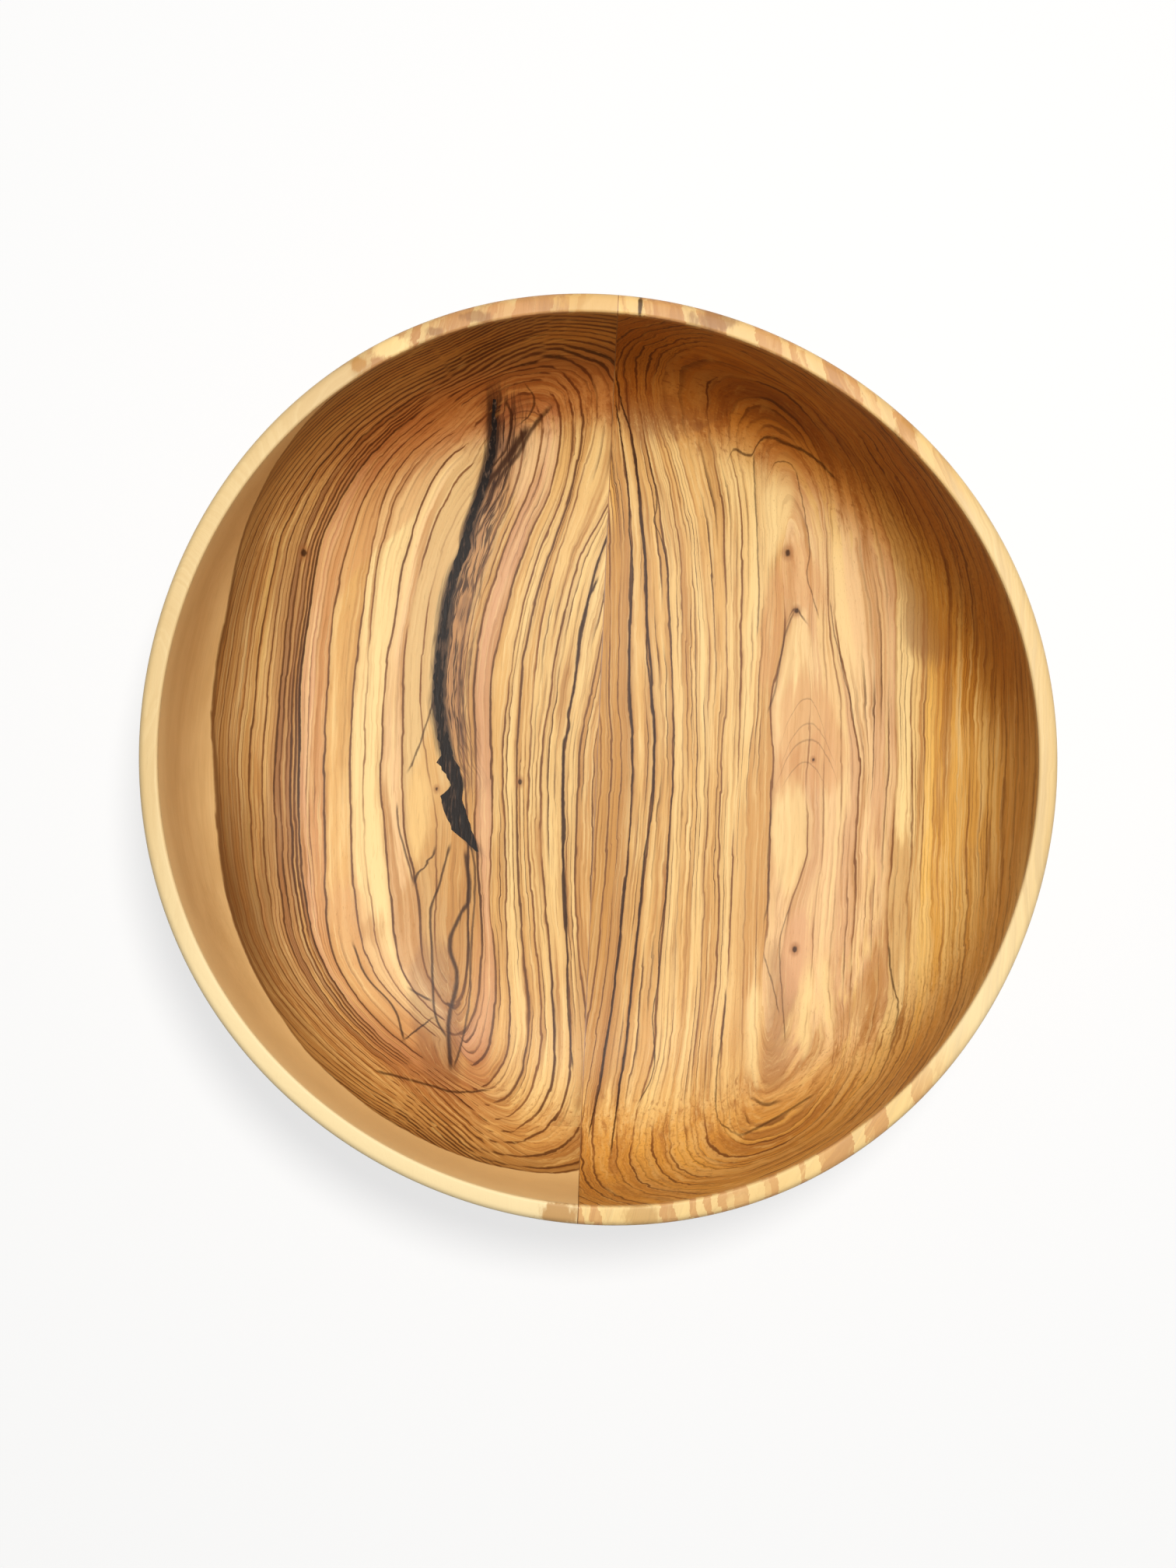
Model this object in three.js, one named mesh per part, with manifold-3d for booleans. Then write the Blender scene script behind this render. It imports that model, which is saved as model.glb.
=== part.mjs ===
// Olive wood salad bowl: two half blanks glued edge to edge, turned as one bowl on a flat base.
// Millimetres, +Z up. The origin is the centre of the base, and the glued seam lies in the YZ plane.
import * as THREE from "three";
import { mergeVertices } from "three/addons/utils/BufferGeometryUtils.js";
import Module from "manifold-3d";

// Bowl
const RIM_DIAMETER = 300; // mean outer diameter at the rim
const BOWL_HEIGHT = 90;
const BASE_DIAMETER = 158; // flat face that the bowl stands on
const RIM_WIDTH = 6.4;
const FLOOR_THICKNESS = 11;
const INNER_FULLNESS = 4.4; // exponent of the inner section curve: higher is squarer
const OUTER_FULLNESS = 3.9;
const RIM_OUTER_ROUND = 2.4;
const RIM_INNER_ROUND = 0.9;

// Plan outline: the wood has dried slightly oval
const OVAL_SWELL = 1.8; // added to the radius along the long axis, taken off across it
const OVAL_SHOULDER = 0.65; // four-sided part of the same movement
const OVAL_DIRECTION = THREE.MathUtils.degToRad(119.3); // long axis, from +X

// Seam
const GLUE_THICKNESS = 0.3;

// Heart crack in the left half's floor, filled level with dark resin
const CRACK_SEAM_DISTANCE = 44; // from the seam to the crack's two ends
const CRACK_BOW = 15.5; // how far its middle bends away from the seam
const CRACK_LENGTH = 136;
const CRACK_WIDTH = 5.4; // at its middle
const CRACK_TIP_WIDTH = 1; // at its blunt ends
const CRACK_DEPTH = 3.2;
const CRACK_WALL_DISTANCE = 30; // from the far end to the inside of the rim
const FILLER_GAP = 0.3;

// Resolution
const TURN_SEGMENTS = 80;
const SECTION_STEPS = 12;
const ROUND_STEPS = 3;
const CRACK_STEPS = 12;

const rimRadius = RIM_DIAMETER / 2;
const innerRadius = rimRadius - RIM_WIDTH;
const baseRadius = BASE_DIAMETER / 2;
const innerDepth = BOWL_HEIGHT - FLOOR_THICKNESS;

const oliveWoodLeft = new THREE.MeshStandardMaterial({ color: 0xc99a5e, roughness: 0.45, metalness: 0 });
const oliveWoodRight = new THREE.MeshStandardMaterial({ color: 0xbf8f56, roughness: 0.45, metalness: 0 });
const woodGlue = new THREE.MeshStandardMaterial({ color: 0x6b4a2a, roughness: 0.5, metalness: 0 });
const darkResin = new THREE.MeshStandardMaterial({ color: 0x2e2724, roughness: 0.3, metalness: 0 });

const wasm = await Module();
wasm.setup();

function solidOf(geometry) {
  geometry.deleteAttribute("normal");
  geometry.deleteAttribute("uv");
  const merged = mergeVertices(geometry, 1e-4);
  return new wasm.Manifold(
    new wasm.Mesh({
      numProp: 3,
      vertProperties: new Float32Array(merged.attributes.position.array),
      triVerts: new Uint32Array(merged.index.array),
    }),
  );
}

function meshOf(name, solid, material) {
  const { vertProperties, triVerts } = solid.getMesh();
  const geometry = new THREE.BufferGeometry();
  geometry.setAttribute("position", new THREE.BufferAttribute(vertProperties, 3));
  geometry.setIndex(new THREE.BufferAttribute(triVerts, 1));
  geometry.computeVertexNormals();
  const mesh = new THREE.Mesh(geometry, material);
  mesh.name = name;
  return mesh;
}

// One side of the section as a superellipse, from one depth below the rim to another
function sectionCurve(radius, depth, fullness, fromDepth, toDepth) {
  const angleAt = (d) => Math.asin(Math.min(1, (d / depth) ** (fullness / 2)));
  const first = angleAt(fromDepth);
  const last = angleAt(toDepth);
  const points = [];
  for (let i = 0; i <= SECTION_STEPS; i++) {
    const angle = THREE.MathUtils.lerp(first, last, i / SECTION_STEPS);
    const across = radius * Math.max(0, Math.cos(angle)) ** (2 / fullness);
    const down = depth * Math.sin(angle) ** (2 / fullness);
    points.push(new THREE.Vector2(across, BOWL_HEIGHT - down));
  }
  return points;
}

// Inner side of the section, from the eased rim edge down to the floor's centre
function innerCurve() {
  const points = sectionCurve(innerRadius, innerDepth, INNER_FULLNESS, RIM_INNER_ROUND, innerDepth);
  points.at(-1).x = 0;
  return points;
}

// Outer side of the section, from the eased rim edge down to the edge of the flat base
function outerCurve() {
  const share = (baseRadius / rimRadius) ** OUTER_FULLNESS;
  const depth = BOWL_HEIGHT / (1 - share) ** (1 / OUTER_FULLNESS);
  return sectionCurve(rimRadius, depth, OUTER_FULLNESS, RIM_OUTER_ROUND, BOWL_HEIGHT);
}

function roundedEdge(centreX, radius, fromAngle, toAngle) {
  const edge = new THREE.EllipseCurve(
    centreX, BOWL_HEIGHT - radius, radius, radius, fromAngle, toAngle, fromAngle > toAngle,
  );
  return edge.getPoints(ROUND_STEPS);
}

// Turns a section into a solid and gives it the dried oval plan
function turned(section) {
  const geometry = new THREE.LatheGeometry(section, TURN_SEGMENTS, Math.PI / TURN_SEGMENTS);
  geometry.rotateX(Math.PI / 2);
  const places = geometry.attributes.position;
  for (let i = 0; i < places.count; i++) {
    const angle = Math.atan2(places.getY(i), places.getX(i)) - OVAL_DIRECTION;
    const swell = OVAL_SWELL * Math.cos(2 * angle) + OVAL_SHOULDER * Math.cos(4 * angle);
    const stretch = 1 + swell / rimRadius;
    places.setXY(i, places.getX(i) * stretch, places.getY(i) * stretch);
  }
  return solidOf(geometry);
}

function turnedBowl() {
  const outer = outerCurve().reverse();
  const outerEdge = roundedEdge(rimRadius - RIM_OUTER_ROUND, RIM_OUTER_ROUND, 0, Math.PI / 2);
  const innerEdge = roundedEdge(innerRadius + RIM_INNER_ROUND, RIM_INNER_ROUND, Math.PI / 2, Math.PI);
  const section = [
    new THREE.Vector2(0, 0),
    ...outer,
    ...outerEdge.slice(1),
    ...innerEdge.slice(0, -1),
    ...innerCurve(),
  ];
  return turned(section);
}

// The space inside the bowl, closed level with the rim
function bowlCavity() {
  const section = [...innerCurve().reverse(), new THREE.Vector2(0, BOWL_HEIGHT - RIM_INNER_ROUND)];
  return turned(section);
}

function block(fromX, toX) {
  const reach = 2 * RIM_DIAMETER;
  const geometry = new THREE.BoxGeometry(toX - fromX, reach, reach);
  geometry.translate((fromX + toX) / 2, 0, 0);
  return solidOf(geometry);
}

// Upright prism round the crack's bowed line, narrow and blunt at both ends, grown by a margin
function crackPrism(margin) {
  const endX = -CRACK_SEAM_DISTANCE;
  const farY = Math.sqrt((innerRadius - CRACK_WALL_DISTANCE) ** 2 - CRACK_SEAM_DISTANCE ** 2);
  const line = new THREE.QuadraticBezierCurve(
    new THREE.Vector2(endX, farY),
    new THREE.Vector2(endX - 2 * CRACK_BOW, farY - CRACK_LENGTH / 2),
    new THREE.Vector2(endX, farY - CRACK_LENGTH),
  );
  const right = [];
  const left = [];
  for (let i = 0; i <= CRACK_STEPS; i++) {
    const t = i / CRACK_STEPS;
    const along = line.getTangent(t);
    const across = new THREE.Vector2(-along.y, along.x);
    const beyond = i === 0 ? -margin : i === CRACK_STEPS ? margin : 0;
    const centre = line.getPoint(t).addScaledVector(along, beyond);
    const width = THREE.MathUtils.lerp(CRACK_TIP_WIDTH, CRACK_WIDTH, Math.sin(Math.PI * t));
    const reach = width / 2 + margin;
    right.push(centre.clone().addScaledVector(across, reach));
    left.unshift(centre.clone().addScaledVector(across, -reach));
  }
  const outline = new THREE.Shape([...right, ...left]);
  return solidOf(new THREE.ExtrudeGeometry(outline, { depth: BOWL_HEIGHT, bevelEnabled: false }));
}

// The crack's own space, its bottom following the floor at a set depth
function crackSpace(margin) {
  return crackPrism(margin).intersect(bowlCavity().translate(0, 0, -CRACK_DEPTH - margin));
}

const half = GLUE_THICKNESS / 2;
const bowl = turnedBowl();
const leftBlank = bowl.intersect(block(-RIM_DIAMETER, -half));
const leftHalf = leftBlank.subtract(crackSpace(FILLER_GAP));
const rightHalf = bowl.intersect(block(half, RIM_DIAMETER));
const glueLine = bowl.intersect(block(-half, half));
const crackFiller = leftBlank.intersect(crackSpace(0));

const saladBowl = new THREE.Group();
saladBowl.name = "salad_bowl";
saladBowl.add(
  meshOf("left_half", leftHalf, oliveWoodLeft),
  meshOf("right_half", rightHalf, oliveWoodRight),
  meshOf("glue_line", glueLine, woodGlue),
  meshOf("crack_filler", crackFiller, darkResin),
);

export default saladBowl;
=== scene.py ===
# Olive wood salad bowl, turned from two glued halves: its looks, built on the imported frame
import math
import bmesh
import bpy
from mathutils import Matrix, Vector
from mathutils.noise import noise as noiseAt


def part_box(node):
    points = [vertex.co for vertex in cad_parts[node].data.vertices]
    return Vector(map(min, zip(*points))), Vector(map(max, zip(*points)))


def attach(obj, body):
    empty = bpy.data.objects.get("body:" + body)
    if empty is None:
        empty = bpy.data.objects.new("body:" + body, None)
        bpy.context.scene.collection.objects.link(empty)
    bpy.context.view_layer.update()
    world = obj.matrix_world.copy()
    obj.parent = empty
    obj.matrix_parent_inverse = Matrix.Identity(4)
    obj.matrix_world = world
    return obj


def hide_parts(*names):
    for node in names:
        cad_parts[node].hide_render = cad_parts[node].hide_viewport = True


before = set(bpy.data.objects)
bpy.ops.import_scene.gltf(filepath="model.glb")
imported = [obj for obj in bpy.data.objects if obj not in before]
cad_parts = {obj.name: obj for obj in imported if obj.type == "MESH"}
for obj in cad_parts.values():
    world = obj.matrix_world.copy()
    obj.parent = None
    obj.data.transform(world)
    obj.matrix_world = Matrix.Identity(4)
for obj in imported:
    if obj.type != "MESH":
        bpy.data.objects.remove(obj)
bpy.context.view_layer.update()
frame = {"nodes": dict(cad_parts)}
print("frame loaded:", ", ".join(frame["nodes"]))

# sizes in metres, the same as the solids have
bowl = {
    "height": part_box("glue_line")[1][2],
    "film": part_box("glue_line")[1][0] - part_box("glue_line")[0][0],  # thickness of the glue line
    "rimRadius": 0.150,
    "rimWidth": 0.0064,
    "baseRadius": 0.079,
    "floorThickness": 0.011,
    "innerFullness": 4.4,      # higher is squarer
    "outerFullness": 3.9,
    "rimOuterRound": 0.0024,
    "rimInnerRound": 0.0009,
    "swell": 0.0018,           # the dried oval, on the radius
    "shoulder": 0.00065,
    "ovalDirection": math.radians(119.3),
    "curveSteps": 60,
    "roundSteps": 6,
    "turnSteps": 181,
}


class Wire:
    # one output socket of a node tree, so that maths on it reads as plain expressions

    def __init__(self, tree, socket=None):
        self.tree = tree
        self.socket = socket

    def node(self, kind, settings=None, sockets=None, out=0):
        made = self.tree.nodes.new(kind)
        for name, value in (settings or {}).items():
            if name == "stops":
                setStops(made.color_ramp, value)
            elif name == "points":
                setPoints(made.mapping, value)
            else:
                setattr(made, name, value)
        for name, value in (sockets or {}).items():
            for item in value if isinstance(value, list) else [value]:
                if isinstance(item, Wire):
                    self.tree.links.new(item.socket, made.inputs[name])
                else:
                    made.inputs[name].default_value = item
        return Wire(self.tree, made.outputs[out] if made.outputs else None)

    def other(self, name):
        return Wire(self.tree, self.socket.node.outputs[name])

    def maths(self, operation, *values):
        return self.node("ShaderNodeMath", {"operation": operation}, dict(enumerate(values)))

    def __add__(self, other):
        return self.maths("ADD", self, other)

    def __sub__(self, other):
        return self.maths("SUBTRACT", self, other)

    def __rsub__(self, other):
        return self.maths("SUBTRACT", other, self)

    def __mul__(self, other):
        return self.maths("MULTIPLY", self, other)

    def __truediv__(self, other):
        return self.maths("DIVIDE", self, other)

    def __pow__(self, other):
        return self.maths("POWER", self, other)

    def __abs__(self):
        return self.maths("ABSOLUTE", self)

    def __lt__(self, other):
        return self.maths("LESS_THAN", self, other)

    __radd__ = __add__
    __rmul__ = __mul__


def setStops(ramp, stops):
    ramp.interpolation = "CONSTANT"
    elements = ramp.elements
    while len(elements) > 1:
        elements.remove(elements[-1])
    elements[0].position = stops[0][0]
    elements[0].color = stops[0][1]
    for place, shade in stops[1:]:
        elements.new(place).color = shade


def setPoints(mapping, points):
    curve = mapping.curves[0]
    curve.points[0].location = points[0]
    curve.points[1].location = points[-1]
    for place, height in points[1:-1]:
        curve.points.new(place, height)
    for point in curve.points:
        point.handle_type = "AUTO_CLAMPED"
    mapping.update()


def colour(red, green, blue):
    # a colour as a paint chart gives it, 0 to 255, as the linear one that sockets hold
    def linear(level):
        share = level / 255
        return share / 12.92 if share <= 0.04045 else ((share + 0.055) / 1.055) ** 2.4
    return (linear(red), linear(green), linear(blue), 1.0)


def smooth(low, high, value):
    # 0 below the low value, 1 above the high one, and a soft step between them
    return value.node("ShaderNodeMapRange", {"interpolation_type": "SMOOTHSTEP", "clamp": False},
                      {"Value": value, "From Min": low, "From Max": high})


def blend(share, first, second, mode="MIX"):
    wire = share if isinstance(share, Wire) else second if isinstance(second, Wire) else first
    return wire.node("ShaderNodeMix", {"data_type": "RGBA", "blend_type": mode},
                     {0: share, 6: first, 7: second}, out=2)


def vector(x, y, z):
    wire = next(item for item in (x, y, z) if isinstance(item, Wire))
    return wire.node("ShaderNodeCombineXYZ", None, {"X": x, "Y": y, "Z": z})


def noise(place, detail=2.0, roughness=0.5):
    # a smooth random value round zero, about -0.5 to 0.5
    made = place.node("ShaderNodeTexNoise", None, {
        "Vector": place, "Scale": 1.0, "Detail": detail, "Roughness": roughness}, out="Fac")
    return made - 0.5


def above(value):
    return value.maths("MAXIMUM", value, 0.0)


def floor(value):
    return value.maths("FLOOR", value)


def chance(number, salt):
    # a random share, 0 to 1, that belongs to one ring
    return number.node("ShaderNodeTexWhiteNoise", {"noise_dimensions": "1D"}, {"W": number + salt})


# The section and the turning

def sideCurve(radius, depth, fullness, fromDepth, toDepth):
    # one side of the section as a superellipse, downwards from the rim
    first, last = (math.asin(min(1.0, (d / depth) ** (fullness / 2))) for d in (fromDepth, toDepth))
    points = []
    for i in range(bowl["curveSteps"] + 1):
        angle = first + (last - first) * i / bowl["curveSteps"]
        across = radius * max(0.0, math.cos(angle)) ** (2 / fullness)
        points.append((across, bowl["height"] - depth * math.sin(angle) ** (2 / fullness)))
    return points


def roundEdge(centre, radius, fromAngle, toAngle):
    points = []
    for i in range(bowl["roundSteps"] + 1):
        angle = fromAngle + (toAngle - fromAngle) * i / bowl["roundSteps"]
        up = bowl["height"] - radius + radius * math.sin(angle)
        points.append((centre + radius * math.cos(angle), up))
    return points


def sectionPoints():
    # from the middle of the base out, up, over the rim and down to the middle of the floor
    rim, inner = bowl["rimRadius"], bowl["rimRadius"] - bowl["rimWidth"]
    outerRound, innerRound = bowl["rimOuterRound"], bowl["rimInnerRound"]
    innerDepth = bowl["height"] - bowl["floorThickness"]
    share = (bowl["baseRadius"] / rim) ** bowl["outerFullness"]
    outerDepth = bowl["height"] / (1 - share) ** (1 / bowl["outerFullness"])
    outer = sideCurve(rim, outerDepth, bowl["outerFullness"], outerRound, bowl["height"])
    inside = sideCurve(inner, innerDepth, bowl["innerFullness"], innerRound, innerDepth)
    inside[-1] = (0.0, bowl["floorThickness"])
    base = [(bowl["baseRadius"] * i / 5, 0.0) for i in range(5)]
    outerEdge = roundEdge(rim - outerRound, outerRound, 0, math.pi / 2)
    innerEdge = roundEdge(inner + innerRound, innerRound, math.pi / 2, math.pi)
    return base + outer[::-1] + outerEdge[1:] + innerEdge[:-1] + inside


def turnedHalfTree():
    # turns the section half way round, gives it the dried oval and closes it at the seam
    tree = bpy.data.node_groups.new("turnedHalf", "GeometryNodeTree")
    tree.interface.new_socket("Geometry", in_out="INPUT", socket_type="NodeSocketGeometry")
    for name, kind in (("Section Points", "Int"), ("Turn Steps", "Int"), ("Side", "Float"),
                       ("Seam Gap", "Float"), ("Rim Radius", "Float"), ("Swell", "Float"),
                       ("Shoulder", "Float"), ("Oval Direction", "Float"), ("Wood", "Material")):
        tree.interface.new_socket(name, in_out="INPUT", socket_type="NodeSocket" + kind)
    tree.interface.new_socket("Geometry", in_out="OUTPUT", socket_type="NodeSocketGeometry")
    given = Wire(tree).node("NodeGroupInput")
    section, steps, side = given, given.other("Turn Steps"), given.other("Side")
    gap = given.other("Seam Gap")

    sheet = given.node("GeometryNodeMeshGrid", None,
                       {"Vertices X": given.other("Section Points"), "Vertices Y": steps})
    number = given.node("GeometryNodeInputIndex")
    place = given.node("GeometryNodeInputPosition")
    row = floor(number / steps)
    column = number - row * steps
    point = given.node("GeometryNodeSampleIndex", {"data_type": "FLOAT_VECTOR"},
                       {"Geometry": section, "Value": place, "Index": row})
    point = given.node("ShaderNodeSeparateXYZ", None, {0: point})

    turn = (column / (steps - 1) - 0.5) * math.pi  # from one end of the seam to the other
    across = turn.maths("COSINE", turn)
    along = turn.maths("SINE", turn)
    angle = along.maths("ARCTAN2", along, across * side) - given.other("Oval Direction")
    twice, fourTimes = angle * 2, angle * 4
    move = (given.other("Swell") * twice.maths("COSINE", twice)
            + given.other("Shoulder") * fourTimes.maths("COSINE", fourTimes))
    reach = point * (move / given.other("Rim Radius") + 1)
    offSeam = reach * across
    spot = vector(side * offSeam.maths("MAXIMUM", offSeam, gap), reach * along, point.other("Z"))
    shell = given.node("GeometryNodeSetPosition", None, {"Geometry": sheet, "Position": spot})
    shell = given.node("GeometryNodeMergeByDistance", None, {"Geometry": shell, "Distance": 1e-6})

    # the flat glued face, filled lying down and stood up again
    faces = given.node("GeometryNodeInputMeshEdgeNeighbors")
    edge = given.node("GeometryNodeMeshToCurve", None, {"Mesh": shell, "Selection": faces < 1.5})
    flat = given.node("ShaderNodeSeparateXYZ", None, {0: place})
    edge = given.node("GeometryNodeSetPosition", None,
                      {"Geometry": edge, "Position": vector(flat.other("Y"), flat.other("Z"), 0.0)})
    cap = given.node("GeometryNodeFillCurve", None, {"Curve": edge})
    cap = given.node("GeometryNodeSetPosition", None,
                     {"Geometry": cap, "Position": vector(side * gap, flat, flat.other("Y"))})
    solid = given.node("GeometryNodeJoinGeometry", None, {"Geometry": [cap, shell]})
    solid = given.node("GeometryNodeMergeByDistance", None, {"Geometry": solid, "Distance": 1e-6})
    solid = given.node("GeometryNodeRealizeInstances", None, {"Geometry": solid})
    solid = given.node("GeometryNodeSetMaterial", None,
                       {"Geometry": solid, "Material": given.other("Wood")})
    given.node("NodeGroupOutput", None, {"Geometry": solid})
    return tree


def pieceFrom(name, mesh):
    piece = bpy.data.objects.new(name, mesh)
    bpy.context.scene.collection.objects.link(piece)
    return piece


def plainMesh(piece):
    # the piece's evaluated shape as its own mesh, with no modifier left
    ready = piece.evaluated_get(bpy.context.evaluated_depsgraph_get())
    mesh = bpy.data.meshes.new_from_object(ready)
    piece.modifiers.clear()
    piece.data = mesh
    mesh.name = piece.name


def finishShading(piece, sharpAngle):
    # outward faces, smooth but for the edges past the given angle
    shape = bmesh.new()
    shape.from_mesh(piece.data)
    bmesh.ops.recalc_face_normals(shape, faces=shape.faces)
    for face in shape.faces:
        face.smooth = True
    for edge in shape.edges:
        edge.smooth = len(edge.link_faces) == 2 and edge.calc_face_angle() < sharpAngle
    shape.to_mesh(piece.data)
    shape.free()


def turnedHalf(name, side, wood, tree):
    points = sectionPoints()
    mesh = bpy.data.meshes.new(name)
    mesh.from_pydata([(across, 0.0, up) for across, up in points], [], [])
    piece = pieceFrom(name, mesh)
    turning = piece.modifiers.new("turning", "NODES")
    turning.node_group = tree
    values = {
        "Section Points": len(points), "Turn Steps": bowl["turnSteps"], "Side": float(side),
        "Seam Gap": bowl["film"] / 2, "Rim Radius": bowl["rimRadius"], "Swell": bowl["swell"],
        "Shoulder": bowl["shoulder"], "Oval Direction": bowl["ovalDirection"], "Wood": wood}
    for socket in tree.interface.items_tree:
        if socket.in_out == "INPUT" and socket.name in values:
            turning[socket.identifier] = values[socket.name]
    plainMesh(piece)
    finishShading(piece, math.radians(40))
    return piece


# The wood

# tones of the oiled wood
tones = {
    "cream": (246, 215, 151),
    "straw": (236, 197, 129),
    "honey": (222, 175, 106),
    "tan": (208, 157, 92),
    "beige": (222, 186, 128),
    "rose": (219, 168, 124),
    "blush": (236, 196, 143),
    "dusk": (219, 174, 126),
    "clay": (210, 154, 100),
    "amber": (224, 167, 80),
    "gold": (242, 193, 104),
    "umber": (188, 136, 76),
    "bark": (156, 112, 74),
    "ink": (60, 33, 16),
    # laid over them
    "vein": (185, 130, 72),
    "streak": (168, 113, 60),
    "wallVein": (148, 94, 34),
    "wallGlow": (240, 196, 110),
    "thread": (152, 98, 52),
    "pore": (120, 74, 38),
    "endGlow": (246, 200, 122),
    "thinShade": (158, 104, 54),
    "thinLine": (84, 48, 22),
    "faintLine": (150, 98, 54),
    "deepLine": (62, 35, 19),
    "lineShade": (160, 104, 54),
    "stainWash": (176, 130, 96),
    "stainSmear": (108, 78, 62),
    "stainStrand": (56, 36, 28),
    "crackEdge": (50, 37, 31),
    "knotRing": (156, 102, 58),
    "sapLight": (229, 191, 133),
    "sapDeep": (211, 170, 112),
    "sapLow": (246, 208, 144),
    # painted light for the sapwood near the rim
    "paintedSapLight": (250, 218, 160),
    "barkShade": (114, 71, 33),
    "barkEdge": (104, 64, 32),
    "endOil": (245, 228, 202),
    "endFoot": (188, 120, 62),
    "fleck": (240, 194, 116),
    # painted shade for the foot of the walls
    "paintedFootShade": (204, 156, 120),
    # painted light for the side walls near the rim
    "paintedSideLight": (236, 186, 112),
    # painted shade for the walls towards the top
    "topShadeTone": (208, 170, 84),
    "rimLight": (230, 204, 152),
    "rimDeep": (223, 194, 141),
    "rimLow": (253, 234, 186),
    "rimGrey": (238, 232, 232),
}

# Places along the seam, in millimetres, where the lines of the grain were read
stations = (125, 100, 75, 50, 25, 0, -25, -50, -75, -100, -122)

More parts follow.
